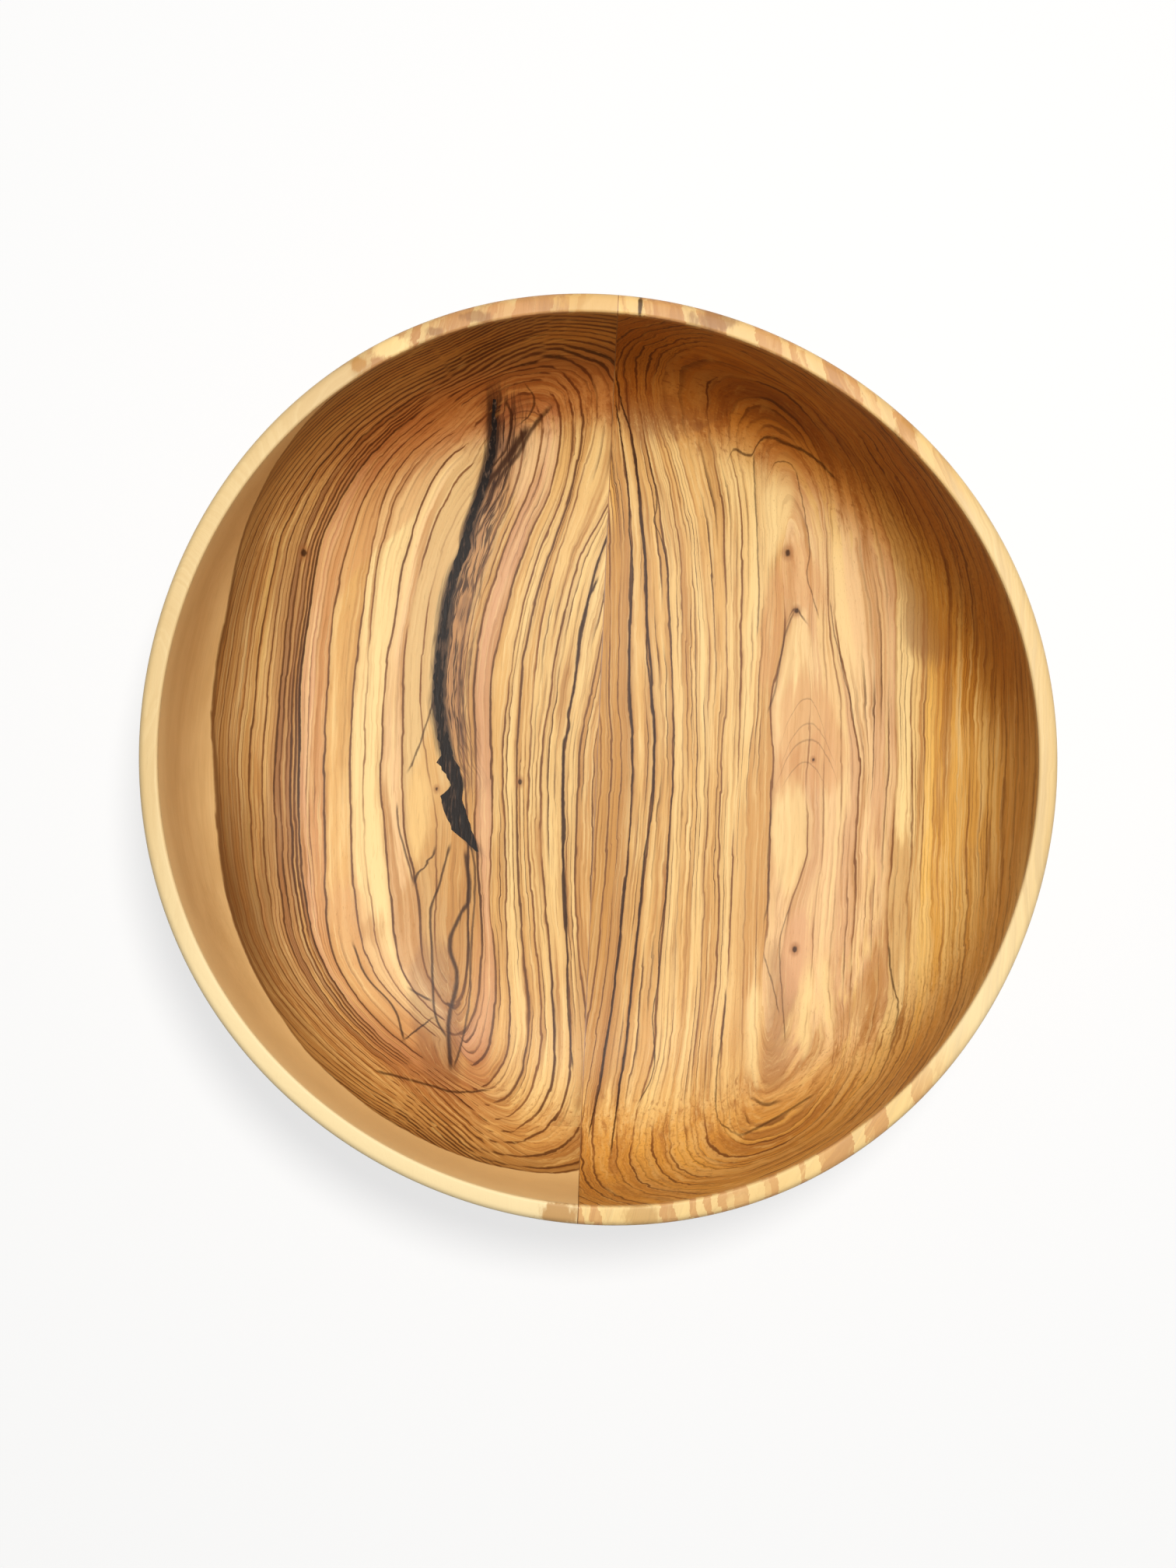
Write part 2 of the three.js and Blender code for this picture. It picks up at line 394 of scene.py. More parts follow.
# Lines of the grain on the floor, from the seam outwards: the tone beyond the line, how dark the
# line is, and its distance from the seam at each station
leftLog = {
    "side": -1,
    "salt": 3.0,
    "heartLine": 9.0,              # the heart's place among the lines
    "barkWay": 0.71,               # how much wider the rings are towards the bark
    "rise": 1.6,                   # how much narrower they are upwards
    "riseTop": -0.4,
    "walls": ("umber", "honey"),
    "endLines": 1.6,               # how much wider the lines are on the end walls
    "foot": (0.8, 0.6),            # painted shade: darker at the foot of the wall, at the top and bottom
    "quiet": (54.0, 100.0),        # fewer thin lines between these
    "sapwood": (68.0, 30.0),       # how far from the heart it begins, and how much farther at the top
    "ringGap": 5.4,                # between lines past those that were read
    "wallLines": 0.8,              # how dark the lines are on the side wall
    "paintedTopShade": 0.1,                  # painted shade: how much darker the top of the wall is
    "nearSeam": "tan",
    "lines": (
        ("straw", 0.6, (-14, -10, -6, -0.5, 3.5, 6.8, 6.2, 5.5, 2.6, -1.5, -4)),
        ("straw", 1.0, (-9, -5.5, 2.2, 7.2, 10, 12, 11.1, 9.7, 7.2, 4.7, 4)),
        ("straw", 0.9, (-5, -2, 9.3, 14.7, 18, 20, 19.5, 16.8, 13.4, 10.5, 9.5)),
        ("honey", 0.35, (3, 10.5, 17.2, 22.6, 24, 24.5, 23.8, 21.5, 18, 15.2, 15)),
        ("straw", 0.7, (8, 13, 20.5, 26.5, 29, 28.8, 27.6, 25.9, 22.6, 19.7, 21)),
        ("honey", 0.6, (11, 15.5, 24, 30.5, 33, 34.3, 32, 31, 29, 26.3, 27)),
        ("rose", 0.7, (15, 20.5, 30, 36.4, 39.4, 38.4, 37, 36.8, 33.3, 32.2, 35)),
        ("tan", 0.8, (20, 27.6, 37, 43.4, 45.9, 43.8, 43, 40, 38.5, 39.5, 41.5)),
        ("tan", 0.9, (26, 32.5, 43, 49.3, 51.5, 48.5, 46, 44.3, 43.2, 43.5, 44)),
        ("beige", 0.0, (42.5, 44.9, 51.5, 57.2, 58.6, 54, 51, 52, 50, 48, 46.5)),
        ("beige", 0.4, (47, 53, 60, 64, 65, 62, 57, 56.3, 55.4, 51, 48.5)),
        ("blush", 0.75, (51, 59.3, 65.8, 70.2, 71.5, 70.2, 69, 62.5, 60, 54, 50.5)),
        ("cream", 0.7, (56, 67, 72.7, 75.7, 78, 78, 76, 72.6, 69, 57, 52.5)),
        ("cream", 0.4, (62, 77, 82.5, 83.9, 84.4, 84.2, 83.3, 80, 75, 60.5, 55)),
        ("honey", 0.6, (68, 82.5, 86, 87.4, 89, 89.2, 87.7, 85.9, 80.5, 64, 57.5)),
        ("clay", 0.8, (76, 89.4, 95.2, 98.4, 98.9, 98.6, 97.8, 96.8, 93.8, 78.5, 61)),
        ("rose", 0.2, (81, 93.5, 100.5, 103, 103.8, 103.8, 103.3, 101, 97, 81.5, 64)),
        ("bark", 1.0, (86, 98, 107, 108, 109.4, 108, 107.2, 105, 99.6, 84.5, 67)),
        ("umber", 0.8, (88, 100, 108.4, 109.4, 110.6, 109.4, 108.8, 106.6, 101.5, 86.5, 69)),
        ("bark", 0.9, (90, 102, 110, 111, 112, 111.2, 110.2, 108.4, 103.6, 88.5, 71)),
        ("tan", 0.7, (92, 104, 111.6, 112.8, 113.2, 113, 111.8, 110.2, 105.8, 90.5, 73)),
        ("bark", 0.9, (95, 107, 114, 115, 115, 115.4, 114, 112.6, 108.6, 93.5, 76)),
        ("honey", 0.9, (98, 110, 116.6, 117.2, 117.2, 117.6, 116.4, 115.2, 111.8, 97, 79))),
    # single marks: width, darkness, then places along the seam and away from it
    "strokes": (
        (1.5, 1.0, ((67, 2.8), (59, 5.8), (48, 8.2), (34, 9.1), (24, 9.9), (17, 11.2), (14, 10.6),
                    (6, 12.4), (-5, 12.2), (-30, 11.1), (-43, 9.8), (-61, 8.3))),
        (0.9, 0.9, ((-55, 8.6), (-70, 7.7), (-84, 7), (-109, 4.1))),
        (1.3, 0.8, ((20, 60.2), (12, 62.2), (5, 64.2), (-3, 67), (-5, 68))),
        (1.3, 0.8, ((-18, 71.6), (-24, 71), (-34, 68), (-40, 66), (-46, 64.2))),
        (1.5, 0.9, ((-33, 57.2), (-36, 58), (-37, 59.6), (-39, 60), (-41.5, 62.5), (-46, 64))),
        (1.5, 0.9, ((-32, 51.8), (-44, 54.6), (-57, 57.7), (-70, 56.4), (-85, 55.2), (-94, 53.4),
                    (-100, 49.6))),
        (2.6, 0.95, ((-34, 46), (-49.4, 44), (-58, 47.5), (-67, 50.2), (-79.4, 47), (-95.3, 49),
                     (-110.5, 47.3))),
        (1.3, 0.8, ((-28, 45.2), (-40, 42.4), (-56, 42), (-70, 42.6), (-84, 42), (-98, 43.4),
                    (-110, 46))),
        (1.4, 0.9, ((-68.7, 84.4), (-79.1, 79.5), (-90.9, 68.5), (-101.2, 64.5))),
        (5.5, 1.0, ((94, 47), (99, 44), (104, 40), (110, 36), (116, 32), (119, 30.4))),
        (3.4, 0.9, ((90, 44), (97, 41.6), (104, 37.6), (110, 33.4), (118, 29), (126, 22.4))),
        (1.8, 0.9, ((104, 43.6), (110, 38.6), (116, 36.4), (122, 36), (127, 38))),
        (1.6, 0.8, ((80, 47.4), (88, 43.4), (96, 39), (102, 36.8), (108, 36))),
        (1.3, 0.8, ((120, 33), (124, 29), (128, 28), (132, 31))),
        (0.9, 0.6, ((60, 47.6), (70, 44.7), (80, 41), (90, 36.5), (97, 34)))),
    # the same for marks that run across: places away from the seam, and along it
    "crossStrokes": (
        (1.5, 0.9, ((55.1, -93.8), (59, -97), (64.5, -101.2))),
        (1.5, 0.9, ((55.4, -87.7), (58, -86.6), (63.5, -83.6))),
        (1.3, 0.85, ((33.5, -117.8), (44, -118.5), (54.4, -116.3), (63, -114), (72.4, -111.6)))),
    # places with a tone of their own: tone, amount, then where they reach from and to at places along
    "shapes": (
        ("beige", 0.75, ((116, 44.5, 50), (100, 48, 58.6), (75, 54, 65), (50, 59, 69.6),
                         (25, 61, 71), (8, 62.5, 70.6), (-2, 66.5, 69))),
        ("honey", 0.6, ((12, 57.5, 61.5), (0, 57.5, 64.5), (-15, 56.5, 67.5), (-30, 57, 66.5),
                        (-40, 61, 65.5))),
        ("straw", 0.8, ((-4, 61.5, 66.5), (-15, 61, 67), (-30, 61, 66), (-38, 62.5, 64.5))),
        ("umber", 0.55, ((-22, 45, 53), (-40, 45, 54), (-60, 44, 57), (-80, 43.5, 54),
                         (-96, 44.5, 50), (-114, 45, 48))),
        ("umber", 0.5, ((-28, 54, 61), (-40, 54, 64), (-60, 57, 71), (-72, 56, 69), (-80, 56, 64))),
        ("umber", 0.6, ((-56, -3, 3.5), (-80, -3, 4.5), (-100, -3, 4), (-125, -3, 3))),
        ("blush", 0.8, ((122, 22, 33), (112, 23, 34.5), (102, 27, 35), (92, 30, 35))),
        ("rose", 0.6, ((100, 26, 31), (75, 32, 36.5), (50, 37.5, 42.5), (25, 40, 45), (0, 39, 43),
                       (-28, 38, 41.5))),
        ("clay", 0.5, ((-46, 84, 98), (-62, 77, 97), (-76, 69, 93), (-90, 62, 84), (-104, 54, 74),
                       (-118, 46, 62))),
        ("bark", 0.55, ((-66, 49, 60), (-80, 47, 64), (-95, 45, 62), (-108, 44, 58), (-118, 44, 52))),
        ("umber", 0.6, ((-57, 73, 79), (-63, 73, 82), (-70, 72, 78))),
        ("tan", 0.5, ((-8, 50, 55), (-24, 50, 60), (-36, 48, 60), (-52, 50, 58))),
        ("bark", 0.5, ((124, 33, 42), (114, 35.5, 42), (104, 37, 46), (95, 39.5, 48), (84, 43, 51),
                       (74, 48, 53))),
        ("bark", 0.7, ((134, 42, 43), (128, 39, 47), (120, 38, 46), (112, 40, 44))),
        ("clay", 0.55, ((122, 48, 72), (114, 52, 84), (100, 62, 92), (86, 70, 100), (70, 86, 106),
                        (50, 98, 107))),
        ("clay", 0.55, ((-60, 36, 41), (-80, 34, 41), (-100, 33.5, 39), (-116, 34, 43))),
        ("bark", 0.6, ((112, 82, 92), (97, 95, 105), (82, 104, 116), (70, 107, 117), (50, 108, 118),
                       (20, 110, 118), (-20, 108, 118), (-50, 106, 118), (-75, 99, 113),
                       (-100, 84, 99), (-122, 67, 82)))),
    # a filled crack: places along, its two sides away from the seam
    "crack": (
        (127, 41.6, 42.6), (117, 41.2, 43), (108, 41.8, 44), (100, 43.4, 46.3), (95, 44.5, 48),
        (85, 48.6, 50.8), (80, 49.4, 52), (76, 48.6, 53.5), (68, 52.6, 55.7), (60, 54.8, 57.3),
        (45, 56.3, 59.2), (32, 56.8, 60.2), (20, 57, 60), (10, 55.2, 58), (2, 52.6, 57),
        (-2, 50.6, 57.4), (-6, 48.6, 54.6), (-10, 48.4, 52.4), (-14, 48.2, 55.8),
        (-20, 46.6, 54.2), (-26, 44.2, 51.5), (-30, 42.4, 46.6), (-33.5, 41.4, 42.4)),
    # marks on the rim: tone, amount, away from the seam, along it, half sizes
    "rim": (
        ("honey", 0.6, 6.6, 147, 14, 6), ("clay", 0.5, 34, 143, 9, 4), ("umber", 0.8, 6, -148, 7, 5),
        ("bark", 0.7, 46.5, 141, 5, 2), ("bark", 0.7, 59, 135.5, 3, 1.6),
        ("cream", 0.8, 72.5, 130, 7, 4), ("umber", 0.8, 83, 124, 2.5, 2.5)),
    # small knots: away from the seam, along it, half width
    "knots": ((27.7, -7.6, 0.8), (107.5, 70, 1.0), (57.6, -11.5, 0.6)),
}

rightLog = {
    "side": 1,
    "salt": 11.0,
    "heartLine": 10.5,
    "barkWay": 1.0,
    "rise": 0.62,
    "riseTop": 0.0,
    "walls": ("amber", "gold"),
    "endLines": 0.0,
    # painted shade at the foot of the wall, mostly at the top
    "foot": (0.5, 0.1),
    "quiet": (62.0, 90.0),
    "sapwood": (300.0, 0.0),
    "ringGap": 3.8,
    "wallLines": 0.4,
    # painted shade: the top of the wall much darker on this half
    "paintedTopShade": 0.75,
    "nearSeam": "tan",
    "lines": (
        ("honey", 1.0, (1.5, 6.3, 9.3, 9.8, 10.8, 12.8, 12.6, 11.8, 10, 7.5, 4.5)),
        ("honey", 1.0, (4.5, 10.5, 13.8, 15.8, 19, 20.7, 19.4, 18, 16.5, 14.5, 12.2)),
        ("straw", 0.65, (9, 16.8, 21.7, 24.2, 26.7, 27.7, 27.3, 26.6, 25.5, 25, 19.5)),
        ("honey", 0.2, (13, 22, 26.5, 28.5, 30, 31.2, 31.3, 31.3, 31, 30.5, 26)),
        ("straw", 0.15, (16, 26, 31, 33, 34.5, 36, 36.3, 36.5, 36.5, 35, 31)),
        ("honey", 0.25, (19, 29.5, 35, 38, 39.2, 40.5, 40.5, 40.8, 41, 39.5, 37)),
        ("straw", 0.35, (31, 39.5, 42.5, 44.7, 45.7, 45, 45.2, 46, 46.2, 44, 41.5)),
        ("straw", 0.4, (37, 46, 49, 49.9, 50.5, 50.8, 50.5, 50.4, 50.3, 48.6, 47.5)),
        ("tan", 0.2, (44, 52, 54.8, 55.9, 56, 54.5, 55, 55.5, 56, 55.5, 54)),
        ("tan", 0.15, (52, 57, 60, 60.5, 60.3, 60, 60.2, 60, 60.2, 59.5, 58)),
        ("blush", 0.4, (56, 61, 63.5, 65.8, 62, 63.5, 63.5, 63.8, 62.5, 61.8, 62)),
        ("dusk", 0.3, (62, 68.5, 72.3, 73.5, 76.3, 75.8, 77.3, 71.5, 69.5, 69.5, 69)),
        ("blush", 0.25, (67, 76, 78.8, 79.5, 82, 82, 82.5, 81, 80, 79, 77)),
        ("dusk", 0.3, (70, 78, 80, 82, 87, 88.3, 88.3, 87.5, 86.8, 89.5, 85)),
        ("blush", 0.4, (74, 80.5, 82, 84.5, 90.5, 94.6, 94.5, 94.8, 94.5, 93.5, 89)),
        ("dusk", 0.1, (80, 88, 93, 97.5, 99, 99.2, 98.8, 98.6, 98.3, 97, 93)),
        ("cream", 0.45, (85, 95, 103, 105.3, 106.3, 107.7, 107.5, 106.4, 107.3, 103, 98)),
        ("straw", 0.5, (89, 99, 108.5, 111.3, 112, 113, 113.7, 113.2, 113, 109, 103)),
        ("gold", 0.5, (93, 103, 113, 116, 116.5, 117, 117, 117.4, 117, 113, 107))),
    "strokes": (
        (1.05, 1.0, ((137, 0.5), (128, 3), (120, 6.5), (110, 9), (100, 10.5), (90, 11.5), (80, 13),
                     (72, 14.5), (62, 15.3), (50, 15.8), (40, 16.3), (32, 17.5), (25, 19), (15, 20),
                     (0, 20.7), (-10, 20.9), (-20, 20.2), (-30, 18.7), (-40, 18.1), (-60, 17.3),
                     (-80, 16), (-100, 14.6), (-120, 12.5), (-136, 10.8))),
        (0.9, 1.0, ((128, 1), (115, 4), (105, 6), (92, 7.5), (83, 8), (75, 9.5), (65, 10), (50, 9.8),
                    (30, 10.5), (10, 12.3), (-10, 12.9), (-50, 11.9), (-60, 11), (-75, 10),
                    (-90, 8.8), (-100, 7.5), (-110, 6.8), (-131, 2.8))),
        (0.75, 0.85, ((113, 13), (100, 16.6), (93, 17.5), (89, 16.6), (86, 18), (80, 20.5),
                      (60, 23.5), (30, 26), (5, 27.7), (-25, 27.2), (-45, 27), (-65, 25.2),
                      (-74, 25.7), (-90, 24), (-104, 25.2), (-111, 24.4), (-120, 20))),
        (0.9, 0.7, ((112, 51), (103, 52), (90, 53.5), (75, 54.8), (65, 55.8), (50, 56))),
        (0.8, 0.6, ((107, 66), (101, 68), (88, 71.5), (80, 73), (72, 72.5), (65, 74.5), (57, 77.4))),
        (1.1, 0.6, ((22, 61), (28, 62.8), (38, 64.3), (47, 65.5), (52, 66.5), (57.5, 68.4))),
        (1.3, 0.6, ((-14, 63.8), (-22, 63.4), (-30, 63.2), (-38, 63.8), (-46, 64), (-53, 62.8))),
        (0.8, 0.6, ((62, 81.4), (50, 83.5), (42, 86), (34, 88), (26, 90.5), (18, 92))),
        (0.8, 0.6, ((-48, 71.8), (-56, 69.4), (-62, 68.6), (-70, 69), (-80, 70), (-95, 71.4))),
        (0.9, 0.6, ((-66, 63), (-72, 65), (-78, 67), (-86, 69))),
        (0.9, 0.7, ((-80, 50), (-98, 48.8), (-105, 47.8), (-120, 47.3), (-124, 48))),
        (1.0, 0.8, ((-60, 106.4), (-68, 107), (-75, 108), (-80, 109), (-92, 106), (-100, 103)))),
    "crossStrokes": (
        (1.6, 0.8, ((42.6, 112), (43.5, 114), (45, 114), (47, 112.8), (50, 112.2), (51.5, 115),
                    (53, 117.2), (56, 118), (61, 116), (64, 115), (70, 112), (75, 108.5), (80, 104))),
        (0.8, 0.6, ((57, 106), (58.5, 109.8), (61, 110.2), (64, 109), (66, 107))),
        (1.8, 0.75, ((67, 56), (68, 58.5), (69.5, 59), (71, 57), (73, 54.6))),
        (1.2, 0.7, ((47.4, -121), (48.6, -124.5), (51, -126), (55, -127.5), (60, -125.5), (68, -121),
                    (80, -113))),
        (1.8, 0.7, ((60, -116), (64, -117.5), (69, -116))),
        (1.3, 0.35, ((66, -2), (69, 6), (73, 11), (77, 12), (82, 8), (86, 0))),
        (1.1, 0.3, ((67, 4), (71, 14), (76, 18), (81, 14), (85, 6))),
        (1.1, 0.3, ((68, -4), (71, 1), (75, 4), (79, 2), (82, -3))),
        (1.0, 0.3, ((66.5, 12), (70, 22), (75, 27), (79, 22), (82, 14)))),
    "shapes": (
        ("umber", 0.65, ((90, -4, 7), (60, -4, 9.4), (0, -4, 12), (-40, -4, 11.6), (-80, -4, 13),
                         (-118, -4, 12))),
        ("cream", 0.5, ((110, 51, 56), (90, 53.8, 60), (70, 55.5, 60), (45, 51, 55.4),
                        (10, 51.5, 54.5))),
        ("cream", 0.75, ((108, 58, 64), (98, 56, 66), (88, 57, 64), (76, 58, 61.5))),
        ("cream", 0.5, ((57, 69, 71.5), (46, 66, 76), (34, 64.5, 78), (20, 64, 80), (8, 66, 72))),
        ("straw", 0.4, ((60, 76, 80), (40, 79, 85), (15, 84, 90))),
        ("cream", 0.65, ((0, 68, 72), (-9, 65.5, 76), (-18, 64, 78), (-28, 64.5, 78), (-36, 67, 75),
                         (-46, 70, 73))),
        ("tan", 0.5, ((-10, 51, 59), (-40, 51.5, 62), (-80, 51.5, 56.5), (-105, 50, 55))),
        ("bark", 0.45, ((-62, 63.6, 68), (-80, 64.5, 75), (-92, 64, 73.5), (-106, 63, 72),
                        (-114, 64, 70))),
        ("cream", 0.9, ((-74, 60, 61.4), (-84, 57.6, 62.6), (-100, 57.4, 61.6), (-112, 58.6, 61.4))),
        ("cream", 0.9, ((-66, 79, 80), (-78, 77, 80.6), (-92, 76, 80), (-100, 77.4, 79))),
        ("cream", 0.7, ((-64, 83, 86.4), (-78, 83.6, 87.6), (-92, 84.6, 88))),
        ("clay", 0.5, ((74, 61, 64), (60, 57.5, 66), (46, 57, 64.4), (28, 57, 61))),
        ("clay", 0.6, ((36, 69, 80), (22, 65, 85), (8, 66, 90), (-6, 64, 88))),
        ("clay", 0.5, ((84, 67, 71), (70, 61, 78), (58, 74, 82))),
        ("rose", 0.6, ((-50, 72.6, 79.6), (-62, 69.6, 80), (-72, 70, 77), (-80, 71, 75))),
        ("tan", 0.6, ((-84, 21, 24), (-100, 20.6, 24.6), (-114, 20, 23))),
        ("umber", 0.6, ((-20, 106, 113), (-45, 105, 114), (-70, 98, 110), (-90, 88, 102))),
        ("bark", 0.6, ((138, 0, 60), (131, 0, 52), (125, 2, 40), (117, 5, 24))),
        ("bark", 0.65, ((94, 94, 110), (80, 101, 120), (64, 106, 126), (50, 108, 126),
                        (40, 112, 122)))),
    "crack": (),
    "rim": (
        ("straw", 0.8, -6.6, 147, 13.4, 6), ("ink", 0.9, 7.2, 147, 0.8, 4),
        ("bark", 0.7, 32, 143.5, 8, 4), ("umber", 0.6, 96, 112, 5, 5),
        ("umber", 0.5, 20, -147, 6, 4)),
    "knots": ((65.3, 79, 1.0), (74, -63.5, 0.8), (69.6, 58.4, 0.8), (78, 5, 0.5)),
}


def paint(name):
    return colour(*tones[name])


def newFinish(name):
    # an empty material, and the object's own coordinates in millimetres
    finish = bpy.data.materials.new(name)
    finish.use_nodes = True
    tree = finish.node_tree
    tree.nodes.clear()
    place = Wire(tree).node("ShaderNodeTexCoord", out="Object")
    place = place.node("ShaderNodeVectorMath", {"operation": "SCALE"}, {0: place, "Scale": 1000.0})
    x = place.node("ShaderNodeSeparateXYZ", None, {0: place})
    return finish, x, x.other("Y"), x.other("Z")


def surface(base, roughness, gloss, height, strength, depth, ior=1.5):
    # the finished surface, with a fine relief of the given depth in metres
    relief = base.node("ShaderNodeBump", None,
                       {"Strength": strength, "Distance": depth, "Height": height})
    shader = base.node("ShaderNodeBsdfPrincipled", None, {
        "Base Color": base, "Roughness": roughness, "IOR": ior, "Specular IOR Level": gloss,
        "Normal": relief})
    base.node("ShaderNodeOutputMaterial", None, {"Surface": shader})


drawnWidth = 300  # millimetres that a drawn curve covers, half of them on each side of the middle


def share(place):
    # millimetres from the middle as a share of the drawn width
    return (place + drawnWidth / 2) / drawnWidth


def fromShare(part):
    return part * drawnWidth - drawnWidth / 2


def traced(points, along):
    # a line drawn through places along the seam and away from it, all as shares
    curve = [(share(at), share(off)) for at, off in sorted(points)]
    return along.node("ShaderNodeFloatCurve", {"points": curve}, {"Value": along})


def rampAt(stops, place):
    return place.node("ShaderNodeValToRGB", {"stops": stops}, {"Fac": place})


def larger(first, second):
    return first.maths("MAXIMUM", first, second)


def smaller(first, second):
    return first.maths("MINIMUM", first, second)


def linesAlong(log, along):
    # where each line of the grain lies at a place along the seam, and the gaps between them
    lines = [traced(zip(stations, places), along) for tone, dark, places in log["lines"]]
    gaps = [following - line for line, following in zip(lines, lines[1:])]
    return lines, gaps


def linesPassed(log, lines, gaps, aside):
    # how many lines lie between the seam and a place, and the way to the nearest
    aside = share(aside)
    ways = [aside - line for line in lines]
    ringsAcross = drawnWidth / log["ringGap"]
    number = smaller(ways[0], 0.0) * ringsAcross
    nearest = abs(ways[0])
    for way, gap, following in zip(ways, gaps, ways[1:]):
        passed = way.node("ShaderNodeMath", {"operation": "DIVIDE", "use_clamp": True}, {0: way, 1: gap})
        number = number + passed
        nearest = smaller(nearest, abs(following))
    number = number + above(ways[-1]) * ringsAcross
    outside = smooth(-0.45, -0.55, number) + smooth(len(lines) - 0.55, len(lines) - 0.45, number)
    between = abs(number - floor(number + 0.5)) * log["ringGap"]
    nearest = nearest * drawnWidth
    return number, nearest + (between - nearest) * outside


def strokesOf(strokes, along, aside):
    # darkness of single marks
    dark = None
    for width, depth, points in strokes:
        first, last = min(points)[0], max(points)[0]
        half = width / 2 / drawnWidth
        mark = smooth(half, half * 0.16, abs(aside - traced(points, along))) * depth
        mark = mark * smooth(share(first - 2), share(first + 2), along)
        mark = mark * smooth(share(last + 2), share(last - 2), along)
        dark = mark if dark is None else larger(dark, mark)
    return dark


def shapeOf(points, along, edges, tips):
    # inside of a drawn outline; the edges and tips are coordinates with streaks in them
    near = traced([(at, low) for at, low, high in points], along)
    far = traced([(at, high) for at, low, high in points], along)
    first, last = min(points)[0], max(points)[0]
    inside = smooth(-0.006, 0.006, edges[0] - near) * smooth(0.006, -0.006, edges[1] - far)
    inside = inside * smooth(share(first - 4), share(first + 6), tips[0])
    return inside * smooth(share(last + 4), share(last - 6), tips[1])


